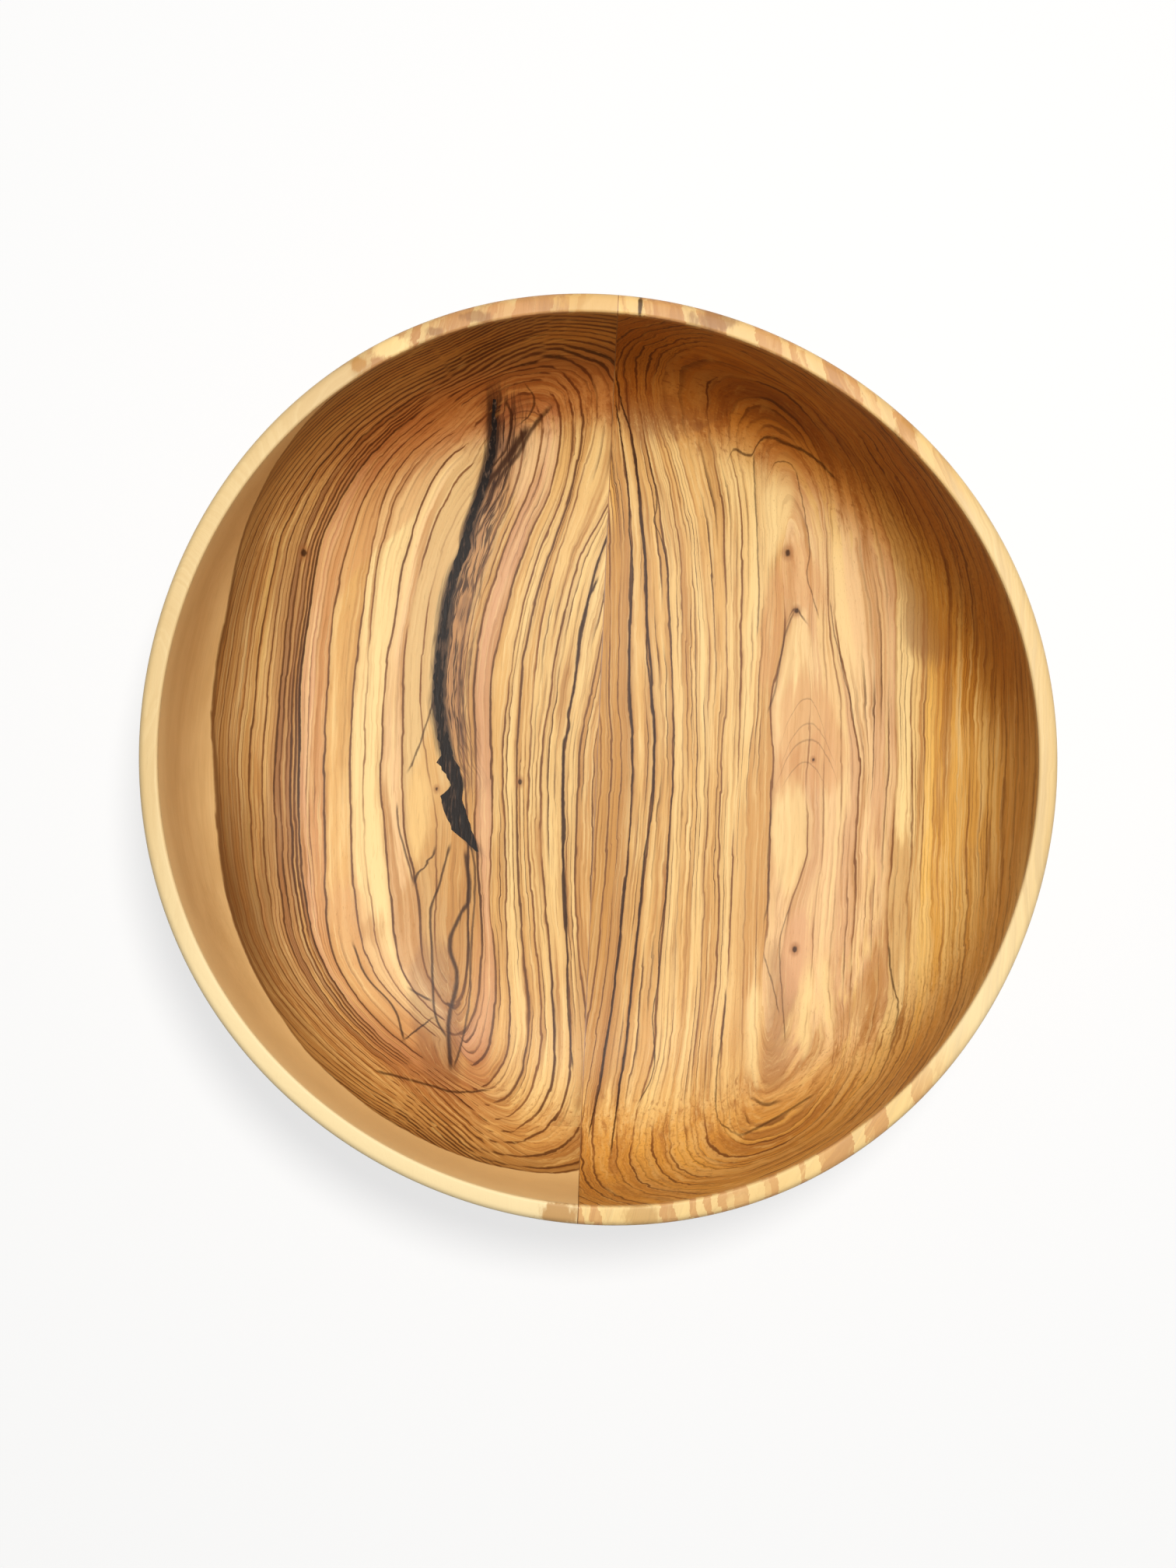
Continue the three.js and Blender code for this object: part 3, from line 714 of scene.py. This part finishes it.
def oliveWood(name, log):
    wood, x, y, z = newFinish(name)
    shift = log["salt"] * 10
    u = x * log["side"]
    wall = smooth(15, 26, z)
    normal = x.node("ShaderNodeNewGeometry", None, None, "Normal")
    facing = x.node("ShaderNodeSeparateXYZ", None, {0: normal}, "Y")
    ends = smooth(0.3, 0.85, abs(facing)) * wall
    inner = smooth(0.4, -0.4, facing * y * 0.02)  # the inside of the end walls

    # the lines wander: slow waves, jogs, small kinks
    kinks = noise(vector(x * 0.09 + shift, y * 0.03, z * 0.09), 3.0)
    fine = noise(vector(x * 0.45 + shift, y * 0.16, z * 0.45), 3.0, 0.6)
    jogs = smooth(-0.03, 0.03, noise(vector(x * 0.09, y * 0.05 + shift, z * 0.09), 1.0)) - 0.5
    waves = noise(vector(x * 0.06 + shift, y * 0.03, z * 0.06), 4.0, 0.6)
    sway = kinks * 1.4 + fine * 0.6 + jogs * 0.35
    aside = u + sway

    # the rings lie round the heart, so that a line of the floor goes on round it up the walls
    heartLine = log["heartLine"]
    odd = heartLine - math.floor(heartLine)
    lines, gaps = linesAlong(log, share(y + kinks))
    heart = fromShare(lines[math.floor(heartLine)] + gaps[math.floor(heartLine)] * odd)
    off = u - heart
    rise = above(z - 12) * (log["rise"] + log["riseTop"] * smooth(20, 125, y))
    steep = rise / log["barkWay"]
    billow = waves * wall * (2.0 + ends * 3)
    towardsSeam = heart - (off * off + rise * rise) ** 0.5 - billow + sway
    towardsBark = heart + (off * off + steep * steep) ** 0.5 + billow + sway
    seamNumber, seamNear = linesPassed(log, lines, gaps, towardsSeam)
    barkNumber, barkNear = linesPassed(log, lines, gaps, towardsBark)
    spread = smooth(12, 34, z) * 34 + 0.1
    barkSide = smooth(spread * -1, spread, off + sway)
    seamCount = above(heartLine - seamNumber)
    count = seamCount + (above(barkNumber - heartLine) - seamCount) * barkSide
    mixed = barkSide * (1 - barkSide) * 4 * wall
    near = seamNear + (barkNear - seamNear) * barkSide
    near = near + (abs(count + odd - floor(count + odd + 0.5)) * 3.5 - near) * mixed
    flat = off * (1 + (log["barkWay"] - 1) * smooth(-12, 12, off))
    reach = (flat * flat + rise * rise) ** 0.5 + sway * 1.2 + billow
    along = y * (1 - ends) + x * ends * 0.6 + barkSide * (1 - wall) * 70

    # each strip has its own tone, on the ends each ring
    streaks = noise(vector(count * 3.6 + shift, along * 0.014, z * 0.02), 5.0, 0.65)
    seamYear = floor(heartLine - count + streaks * 0.3)
    barkYear = floor(heartLine + count + streaks * 0.3)
    total = len(log["lines"]) + 1
    names = [log["nearSeam"]] + [line[0] for line in log["lines"]]
    stops = [(i / total, paint(tone)) for i, tone in enumerate(names)]
    seamTone = rampAt(stops, (seamYear + 1.5) / total)
    barkTone = rampAt(stops, (barkYear + 1.5) / total)
    base = blend(barkSide, seamTone, barkTone)
    beyond = smooth(total - 1.6, total - 1.4, barkYear) * barkSide
    beyond = larger(beyond + smooth(-1.4, -1.6, seamYear) * (1 - barkSide), ends)
    ring = floor(count + odd + streaks * 0.3)
    others = blend(chance(ring, shift), paint(log["walls"][0]), paint(log["walls"][1]))
    base = blend(beyond, base, others)

    # flames of other tones along the strips
    flames = noise(vector(count * 0.9 + shift, along * 0.02 + streaks * 0.6, z * 0.02), 3.0)
    base = blend(smooth(0.03, 0.2, flames) * 0.35, base, paint("tan"))
    base = blend(smooth(-0.03, -0.18, flames) * 0.35, base, paint("cream"))

    # veins and streaks between the lines, fibres and pores along the grain
    bands = noise(vector(count * 1.7 + shift, along * 0.011, z * 0.02 + 5), 3.0, 0.6)
    fibres = noise(vector(count * 6.5 + shift, along * 0.016, ends * z * 0.6), 5.0, 0.65)
    pores = noise(vector(x * 3.2, y * 0.1 + shift, z * 3.2), 1.0)
    # all that is laid over the grain keeps to slightly uneven places
    level, place, across = z + fibres * 0.4, y + fibres, u + fibres * 0.4
    base = blend(smooth(0.02, 0.17, bands) * 0.7, base, paint("vein"))
    base = blend(smooth(-0.02, -0.17, bands) * 0.5, base, paint("cream"))
    quietFrom, quietTo = log["quiet"]
    quiet = smooth(quietFrom - 3, quietFrom + 3, across) * smooth(quietTo + 3, quietTo - 3, across)
    quiet = quiet * (1 - wall)
    base = blend(smooth(0.0, 0.2, streaks) * (1 - quiet * 0.5) * 0.65, base, paint("streak"))
    base = blend(smooth(-0.02, -0.2, streaks) * 0.6, base, paint("cream"))
    sideWall = wall * (1 - ends)
    browner = smooth(0.03, 0.14, bands) * sideWall * smooth(20, 44, level) * 0.7
    base = blend(browner, base, paint("wallVein"))
    base = blend(smooth(-0.03, -0.15, bands) * sideWall * 0.5, base, paint("wallGlow"))

    # places with a tone of their own, which have fewer lines
    calm = y * 0
    below = smooth(40, 22, level)
    soft = streaks * 0.012
    drift = share(y + streaks * 2)
    edges = (share(aside) + soft, share(aside) - soft)
    tips = (share(place) + soft * 9, share(place) - soft * 9)
    for tone, amount, points in log["shapes"]:
        inside = shapeOf(points, drift, edges, tips) * below * amount
        base = blend(inside, base, paint(tone))
        calm = larger(calm, inside)
    threads = smooth(0.02, 0.2, fibres) * (1 - calm * 0.5) * (1 - quiet * 0.6) * 0.6
    base = blend(threads, base, paint("thread"))
    base = blend(smooth(-0.04, -0.22, fibres) * 0.5, base, paint("cream"))
    base = blend(smooth(0.15, 0.24, pores) * 0.2, base, paint("pore"))
    base = blend(smooth(26, 60, level) * ends * log["endLines"] * 0.34, base, paint("endGlow"))

    # thin lines between those that were read, closer on the walls
    narrow = count * 3.0 + odd + streaks * 0.5
    within = narrow - floor(narrow)
    thinComes = noise(vector(floor(narrow) * 2.3 + shift, along * 0.016, z * 0.02), 2.0)
    thin = smooth(-0.06, 0.14, thinComes) * (1 - calm * 0.9)
    thin = thin * (1 - quiet * 0.8)
    thin = thin + (chance(floor(narrow), shift + 8) * smooth(-0.25, 0.1, bands) - thin) * wall
    thin = thin * (1 - sideWall * (1 - log["wallLines"])) * (1 - ends * 0.4)
    base = blend(smooth(0.3, 1.0, within) * thin * 0.35, base, paint("thinShade"))
    base = blend(smooth(0.7, 0.88, within) * thin * 0.85, base, paint("thinLine"))

    # the lines, which come and go
    darks = [(0.0, (0.0, 0.0, 0.0, 1.0))] + [
        ((i + 0.5) / total, (line[1], line[1], line[1], 1.0)) for i, line in enumerate(log["lines"])]
    seamLine = (floor(heartLine - count + 0.5) + 1.0) / total
    barkLine = (floor(heartLine + count + 0.5) + 1.0) / total
    strength = blend(barkSide, rampAt(darks, seamLine), rampAt(darks, barkLine))
    strength = strength.node("ShaderNodeSeparateColor", None, {0: strength})
    strength = strength * (1 - wall * (0.3 - log["endLines"] * 0.18))
    lineNumber = floor(count + odd + 0.5)
    ringLine = chance(lineNumber, shift + 5)
    onWall = 0.2 + ends * 0.2 + ringLine * (0.8 - ends * 0.2)
    onWall = onWall * (0.9 - sideWall * (0.9 - log["wallLines"])) * (0.7 + log["endLines"] * 0.19)
    strength = strength * (1 - sideWall * (1 - log["wallLines"]))
    strength = strength + (onWall - strength) * beyond
    strength = strength * (1 - smooth(12.5, 15, level) * smooth(1.5, 0.4, count))
    lineComes = noise(vector(lineNumber * 3.1 + shift, along * 0.02, z * 0.02), 3.0)
    strength = strength * smooth(-0.3, 0.1, lineComes)
    wider = smooth(26, 50, level) * ends * inner * log["endLines"]
    width = (0.35 + (kinks + fine + 0.7) * strength * 0.5) * (1 + wider)
    inkTone = blend(strength, paint("faintLine"), paint("deepLine"))
    base = blend(smooth(2.6, 0.2, near + fibres * 2) * strength * 0.4, base, paint("lineShade"))
    base = blend(smooth(width, width * 0.4, near) * smooth(0.05, 0.35, strength) * 0.95, base, inkTone)

    # grey stain that has drawn into the wood beside the crack, mostly towards the seam
    low = smooth(52, 42, level)
    if log["crack"]:
        sides = log["crack"]
        middles = [(at, (nearSide + farSide) / 2) for at, nearSide, farSide in sides]
        away = fromShare(traced(middles, share(place))) - across
        first, last = min(sides)[0], max(sides)[0]
        long = smooth(first - 4, first + 6, place) * smooth(last + 8, last - 4, place) * low
        strands = noise(vector(away * 0.3 + kinks * 2 + shift, place * 0.016, 2.0), 4.0, 0.7)
        smears = noise(vector(away * 0.22 + 7, place * 0.05, 4.0), 3.0, 0.6)
        beside = smooth(15, 5, away + smears * 10) * smooth(-3, 0, away) * long * smooth(-24, 16, place)
        base = blend(beside * 0.55, base, paint("stainWash"))
        base = blend(beside * smooth(0.0, 0.16, smears) * 0.6, base, paint("stainSmear"))
        base = blend(beside * smooth(0.05, 0.01, abs(strands)) * 0.9, base, paint("stainStrand"))
        base = blend(smooth(3.6, 1.6, abs(away) + strands * 6) * long * 0.9, base, paint("crackEdge"))

    # single marks and knots
    wobble = fine * 0.9 + kinks * 0.5 + fibres * 0.4
    acrossGrain, alongGrain = share(u + wobble), share(y + wobble)
    drawn = strokesOf(log["strokes"], alongGrain, acrossGrain) * smooth(46, 30, level)
    drawn = larger(drawn, strokesOf(log["crossStrokes"], acrossGrain, alongGrain) * low)
    for away, at, half in log["knots"]:
        offU, offV = (across - away) / half, (place - at) / (half * 1.3)
        ringed = (offU * offU + offV * offV) ** 0.5 + fine * 1.4
        base = blend(smooth(3.2, 1.0, ringed) * 0.6 * low, base, paint("knotRing"))
        drawn = larger(drawn, smooth(1.3, 0.5, ringed) * 0.95 * low)
    base = blend(drawn * 0.95, base, paint("ink"))

    # plain sapwood under the bark
    begins, topMore = log["sapwood"]
    sap = smooth(-1.0, 1.0, reach - begins - topMore * smooth(40, 115, place)) * wall
    plain = blend(smooth(-0.3, 0.3, kinks + fibres * 0.7), paint("sapLight"), paint("sapDeep"))
    plain = blend(smooth(-50, -110, place) * 0.7, plain, paint("sapLow"))
    # painted light: the sapwood lighter high on the wall, towards the rim
    plain = blend(smooth(50, 86, level) * 0.45, plain, paint("paintedSapLight"))
    base = blend(sap, base, plain)
    inward = begins + topMore * smooth(40, 115, place) - reach
    shaded = 0.45 + smooth(10, -50, place) * (1 - ends) * 0.45 - ends * 0.15
    shaded = smooth(26, 4, inward + bands * 30) * (1 - sap) * wall * shaded
    base = blend(shaded, base, paint("barkShade"))
    edge = smooth(1.8, 0.4, abs(inward - 1)) * wall * (1 - ends * 0.6)
    base = blend(edge * 0.7, base, paint("barkEdge"))

    # end grain takes more oil and goes browner, with pale flecks; painted shade at the foot of the walls
    # and on the walls towards the top, and painted light high on the side walls
    heartwood = ends * (1 - sap)
    flecks = noise(vector(count * 1.6, x * 0.09 + shift, z * 0.04), 4.0, 0.6)
    base = blend(heartwood, base, blend(1.0, base, paint("endOil"), "MULTIPLY"))
    base = blend(heartwood * smooth(46, 20, level) * 0.15, base, paint("endFoot"))
    base = blend(smooth(0.06, 0.2, flecks) * heartwood * 0.55, base, paint("fleck"))
    # painted shade: darker at the foot of the walls, at the top and bottom ends
    topFoot, bottomFoot = log["foot"]
    foot = smooth(18, 25, level) * smooth(58, 34, level) * smooth(70, 120, place) * topFoot
    lowFoot = smooth(14, 19, level) * smooth(36, 24, level) * smooth(-80, -112, place)
    foot = foot + lowFoot * smooth(20, 40, across) * bottomFoot
    base = blend(foot * (1 - sap), base, blend(1.0, base, paint("paintedFootShade"), "MULTIPLY"))
    # painted light: the heartwood of the side walls lighter towards the rim
    base = blend(smooth(36, 76, level) * sideWall * (1 - sap) * 0.2, base, paint("paintedSideLight"))
    # painted shade: the walls darker towards the top, where they lie in shadow; strong on the right half
    paintedTopShade = smooth(18, 30, level) * smooth(4, 42, y + streaks * 70) * (1 - smooth(86, 89, level))
    base = blend(paintedTopShade * log["paintedTopShade"], base, blend(1.0, base, paint("topShadeTone"), "MULTIPLY"))

    # the rim: pale where the grain runs along it, striped where it is cut across, with single marks
    rim = smooth(86, 89.4, level)
    pale = blend(smooth(-0.2, 0.15, fibres), paint("rimLight"), paint("rimDeep"))
    pale = blend(smooth(-10, -90, place) * 0.7, pale, paint("rimLow"))
    cut = chance(floor(across * 0.4 + place * 0.1 + fine * 2 + streaks), shift + 21)
    crossed = blend(smooth(0.3, 0.7, cut + streaks), paint("cream"), paint("clay"))
    lengthwise = larger(sap, smooth(112, 78, abs(place)))
    base = blend(rim * (1 - lengthwise) * 0.7, base, crossed)
    base = blend(rim * (0.1 + lengthwise * 0.7), base, pale)
    greyer = blend(1.0, base, paint("rimGrey"), "MULTIPLY")
    base = blend(rim * smooth(80, 130, place) * 0.8, base, greyer)
    for tone, amount, away, at, halfU, halfV in log["rim"]:
        offU, offV = (across - away) / halfU, (place - at) / halfV
        mark = smooth(1.2, 0.6, (offU * offU + offV * offV) ** 0.5 + fine * 1.5 + streaks)
        base = blend(mark * rim * amount, base, paint(tone))

    # the turned and oiled surface
    grain = noise(vector(x * 1.4, y * 0.05 + shift, z * 1.4), 3.0, 0.6)
    height = grain * 0.8 - smooth(0.13, 0.24, pores) * 0.4
    surface(base, 0.42 + fibres * 0.12, 0.14, height, 0.15, 0.0004, 1.48)
    return wood


def darkFilling():
    # charcoal resin in the crack
    resin, x, y, z = newFinish("darkResin")
    strands = noise(vector(x * 0.9, y * 0.12, z * 0.9), 4.0, 0.6)
    specks = noise(vector(x * 2.5, y * 2.5, z * 2.5), 2.0)
    base = blend(smooth(0.02, 0.2, strands), colour(32, 25, 22), colour(92, 72, 58))
    base = blend(smooth(0.12, 0.25, specks) * 0.6, base, colour(20, 16, 14))
    surface(base, 0.45 + strands * 0.2, 0.12, strands, 0.3, 0.0004)
    return resin


def driedGlue():
    glue, x, y, z = newFinish("woodGlue")
    patches = noise(vector(x * 0.3, y * 0.09, z * 0.3), 3.0)
    base = blend(smooth(-0.2, 0.2, patches), colour(122, 80, 44), colour(168, 118, 68))
    surface(base, 0.4 + patches * 0.2, 0.3, patches, 0.1, 0.0002)
    return glue


# The filled crack and the glue line

crack = {
    "depth": 0.0032,
    "above": 0.004,     # how far the cutter stands above the floor
    "step": 1.2,        # millimetres along the crack
    "ragged": 0.8,
}


def floorHeight(across):
    inner = bowl["rimRadius"] - bowl["rimWidth"]
    depth = bowl["height"] - bowl["floorThickness"]
    outward = min(1.0, across / inner) ** bowl["innerFullness"]
    return bowl["height"] - depth * (1 - outward) ** (1 / bowl["innerFullness"])


def raggedAt(along, coarseSalt, fineSalt):
    # an uneven value round zero: slow waves with smaller ones on them
    return noiseAt(Vector((along * 0.3, coarseSalt, 0))) + noiseAt(Vector((along * 0.8, fineSalt, 0)))


def crackSides():
    # the crack's sides every step of the way, a little ragged
    sides = []
    drawn = leftLog["crack"]
    for (fromAt, fromNear, fromFar), (toAt, toNear, toFar) in zip(drawn, drawn[1:]):
        steps = max(1, round(abs(toAt - fromAt) / crack["step"]))
        for i in range(steps):
            part = i / steps
            along = fromAt + (toAt - fromAt) * part
            near = fromNear + (toNear - fromNear) * part
            far = fromFar + (toFar - fromFar) * part
            ragged = min(crack["ragged"], (far - near) / 3)
            near += ragged * raggedAt(along, 1.7, 4.1)
            far += ragged * raggedAt(along, 8.3, 6.2)
            sides.append((along, near, far))
    return sides + [drawn[-1]]


def crackCutter():
    # a closed strip along the crack, from its bottom to just above the floor
    shape = bmesh.new()
    rows = []
    for along, near, far in crackSides():
        along, near, far = along / 1000, -near / 1000, -far / 1000
        level = floorHeight(math.hypot((near + far) / 2, along))
        low, high = level - crack["depth"], level + crack["above"]
        corners = ((far, low), (near, low), (near, high), (far, high))
        rows.append([shape.verts.new((across, along, up)) for across, up in corners])
    for row, following in zip(rows, rows[1:]):
        for i in range(4):
            j = (i + 1) % 4
            shape.faces.new((row[i], row[j], following[j], following[i]))
    shape.faces.new(rows[0])
    shape.faces.new(rows[-1])
    bmesh.ops.triangulate(shape, faces=shape.faces)
    bmesh.ops.recalc_face_normals(shape, faces=shape.faces)
    mesh = bpy.data.meshes.new("cutter")
    shape.to_mesh(mesh)
    shape.free()
    return pieceFrom("cutter", mesh)


def cutBy(piece, cutter, operation):
    cut = piece.modifiers.new("cut", "BOOLEAN")
    cut.object = cutter
    cut.operation = operation
    cut.solver = "MANIFOLD"
    plainMesh(piece)


def fillCrack(half, resin):
    # cuts the crack into the half and keeps what was cut out as its filling
    cutter = crackCutter()
    filling = pieceFrom("crackFilling", half.data.copy())
    cutBy(filling, cutter, "INTERSECT")
    cutBy(half, cutter, "DIFFERENCE")
    bpy.data.objects.remove(cutter)
    filling.data.materials.clear()
    filling.data.materials.append(resin)
    finishShading(filling, math.radians(40))
    finishShading(half, math.radians(40))
    return filling


def glueLine(glue):
    # a film between the halves, with the bowl's section on both sides of the middle
    swell = bowl["swell"] * math.cos(2 * (math.pi / 2 - bowl["ovalDirection"]))
    shoulder = bowl["shoulder"] * math.cos(4 * (math.pi / 2 - bowl["ovalDirection"]))
    stretch = 1 + (swell + shoulder) / bowl["rimRadius"]
    right = [(across * stretch, up) for across, up in sectionPoints()]
    outline = right + [(-across, up) for across, up in right[-2:0:-1]]
    half = bowl["film"] / 2
    shape = bmesh.new()
    front = [shape.verts.new((half, along, up)) for along, up in outline]
    back = [shape.verts.new((-half, along, up)) for along, up in outline]
    for i in range(len(outline)):
        j = (i + 1) % len(outline)
        shape.faces.new((front[i], front[j], back[j], back[i]))
    shape.faces.new(front)
    shape.faces.new(back)
    bmesh.ops.triangulate(shape, faces=[face for face in shape.faces if len(face.verts) > 4])
    mesh = bpy.data.meshes.new("glueLine")
    shape.to_mesh(mesh)
    shape.free()
    film = pieceFrom("glueLine", mesh)
    film.data.materials.append(glue)
    finishShading(film, math.radians(40))
    return film


# Stage: pale floor, soft light, camera

stage = {
    "cameraAbove": 0.65,                # over the rim
    "cameraOff": (-0.0025, -0.0201),    # from the bowl's middle
    "aim": (-0.0029, -0.0087),
    "roll": math.radians(2.53),         # the seam leans to the right at its top
    "viewHeight": 0.506,                # what the picture's height covers at the rim
    "floorSize": 6.0,
    "keyDirection": math.radians(61),   # from +X
    "keyHeight": math.radians(77),
    "keyDistance": 1.3,
    "keySize": 0.26,
    "keyPower": 17.4,
    "worldStrength": 0.07,
}


def makeCamera():
    lens = bpy.data.cameras.new("camera")
    camera = bpy.data.objects.new("camera", lens)
    bpy.context.scene.collection.objects.link(camera)
    rim = bowl["height"]
    eye = Vector((*stage["cameraOff"], rim + stage["cameraAbove"]))
    aim = Vector((*stage["aim"], rim))
    back = (eye - aim).normalized()
    up = Vector((-math.sin(stage["roll"]), math.cos(stage["roll"]), 0))
    right = up.cross(back).normalized()
    up = back.cross(right)
    turn = camera.matrix_world.to_3x3()
    turn.col[0], turn.col[1], turn.col[2] = right, up, back
    camera.matrix_world = turn.to_4x4()
    camera.location = eye
    lens.sensor_fit = "VERTICAL"
    lens.sensor_height = 24
    lens.lens = lens.sensor_height * (eye - aim).length / stage["viewHeight"]
    bpy.context.scene.camera = camera


def makeFloor():
    half = stage["floorSize"] / 2
    mesh = bpy.data.meshes.new("floor")
    corners = [(-half, -half, 0), (half, -half, 0), (half, half, 0), (-half, half, 0)]
    mesh.from_pydata(corners, [], [(0, 1, 2, 3)])
    ground = pieceFrom("floor", mesh)
    paper = bpy.data.materials.new("whitePaper")
    paper.use_nodes = True
    tree = paper.node_tree
    tree.nodes.clear()
    ray = Wire(tree).node("ShaderNodeLightPath", out="Is Camera Ray")
    seen = ray.maths("MAXIMUM", ray, ray.other("Is Glossy Ray"))
    matte = ray.node("ShaderNodeBsdfDiffuse", None, {"Color": (0.9, 0.9, 0.9, 1)})
    glow = ray.node("ShaderNodeEmission", None, {"Color": (1, 1, 1, 1), "Strength": 1.0})
    mixed = ray.node("ShaderNodeMixShader", None, {0: seen * 0.75, 1: matte, 2: glow})
    ray.node("ShaderNodeOutputMaterial", None, {"Surface": mixed})
    ground.data.materials.append(paper)


def makeLight():
    key = bpy.data.lights.new("key", "AREA")
    key.shape = "DISK"
    key.size = stage["keySize"]
    key.energy = stage["keyPower"]
    key.color = (1.0, 0.98, 0.94)
    lamp = bpy.data.objects.new("key", key)
    bpy.context.scene.collection.objects.link(lamp)
    level = stage["keyDistance"] * math.cos(stage["keyHeight"])
    lamp.location = (level * math.cos(stage["keyDirection"]), level * math.sin(stage["keyDirection"]),
                     stage["keyDistance"] * math.sin(stage["keyHeight"]))
    lamp.rotation_euler = Vector(lamp.location).to_track_quat("Z", "Y").to_euler()
    world = bpy.data.worlds.new("studio")
    world.use_nodes = True
    sky = world.node_tree.nodes["Background"]
    sky.inputs["Color"].default_value = (1, 1, 1, 1)
    sky.inputs["Strength"].default_value = stage["worldStrength"]
    bpy.context.scene.world = world


bpy.context.scene.view_settings.view_transform = "Standard"
makeCamera()
makeFloor()
makeLight()
print("stage set")

halfTree = turnedHalfTree()
leftHalf = turnedHalf("leftHalf", -1, oliveWood("oliveWoodLeft", leftLog), halfTree)
rightHalf = turnedHalf("rightHalf", 1, oliveWood("oliveWoodRight", rightLog), halfTree)
print("halves turned:", len(leftHalf.data.polygons), "and", len(rightHalf.data.polygons), "faces")

filling = fillCrack(leftHalf, darkFilling())
film = glueLine(driedGlue())
print("crack filled:", len(filling.data.polygons), "faces; glue line:", len(film.data.polygons), "faces")

for piece, node, slot in ((leftHalf, "left_half", "olive_wood_left"),
                          (rightHalf, "right_half", "olive_wood_right"),
                          (film, "glue_line", "wood_glue"),
                          (filling, "crack_filler", "dark_resin")):
    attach(piece, "root")
    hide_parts(node)
